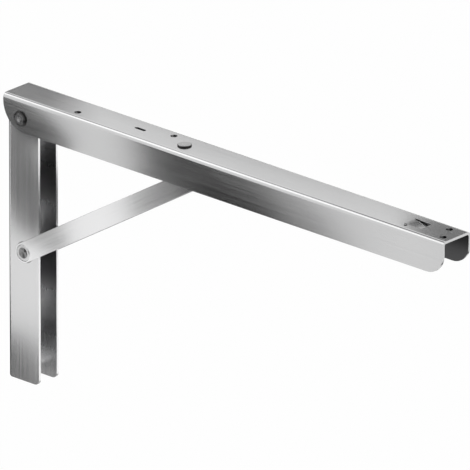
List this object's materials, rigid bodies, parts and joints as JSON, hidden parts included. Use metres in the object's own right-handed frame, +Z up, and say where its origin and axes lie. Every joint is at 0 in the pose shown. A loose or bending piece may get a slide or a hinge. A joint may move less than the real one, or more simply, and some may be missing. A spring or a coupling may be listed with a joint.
{
  "type": "drop leaf table bracket",
  "caption": "Folding steel bracket: a wall channel, a hinged channel arm that carries a table leaf, and a strut whose roller runs under the arm into a spring catch.",
  "frame": {"origin": "middle of the wall channel's back face, which lies on the wall", "axes": "+X out from the wall along the open arm, +Y across the bracket, +Z up"},
  "size_m": [0.3973, 0.0308, 0.2082],
  "materials": {
    "sheet": "bright polished nickel plate",
    "rivet": "bright polished nickel plate",
    "spring": "rolled spring steel",
    "roller": "turned steel"
  },
  "bodies": {
    "wall": {"wall_channel": "sheet", "arm_pivot_tube": "rivet", "strut_pivot_rivet_near": "rivet", "strut_pivot_rivet_far": "rivet"},
    "arm": {"arm_channel": "sheet", "arm_pivot_pin": "rivet", "arm_pivot_spacer_near": "rivet", "arm_pivot_spacer_far": "rivet", "web_rivet": "rivet", "catch_spring": "spring"},
    "strut": {"strut_bar_near": "sheet", "strut_bar_far": "sheet", "slide_pin": "rivet", "slide_bush_near": "rivet", "slide_bush_far": "rivet"},
    "roller": {"slide_roller": "roller"}
  },
  "joints": [
    {"name": "arm_fold", "type": "hinge", "parent": "wall", "child": "arm", "pos_m": [0.0163, 0, 0.09005], "axis": [0, 1, 0], "range_deg": [0, 90], "deforming": ["catch_spring"]},
    {"name": "strut_swing", "type": "hinge", "parent": "wall", "child": "strut", "pos_m": [0.016, 0, -0.00815], "axis": [0, 1, 0], "range_deg": [0, 120.44]},
    {"name": "roller_spin", "type": "hinge", "parent": "strut", "child": "roller", "pos_m": [0.1818, 0, 0.09405], "axis": [0, 1, 0], "continuous": true}
  ],
  "couplings": [
    {"joint": "strut_swing", "follows": "arm_fold", "ratio": 1.3376}
  ]
}
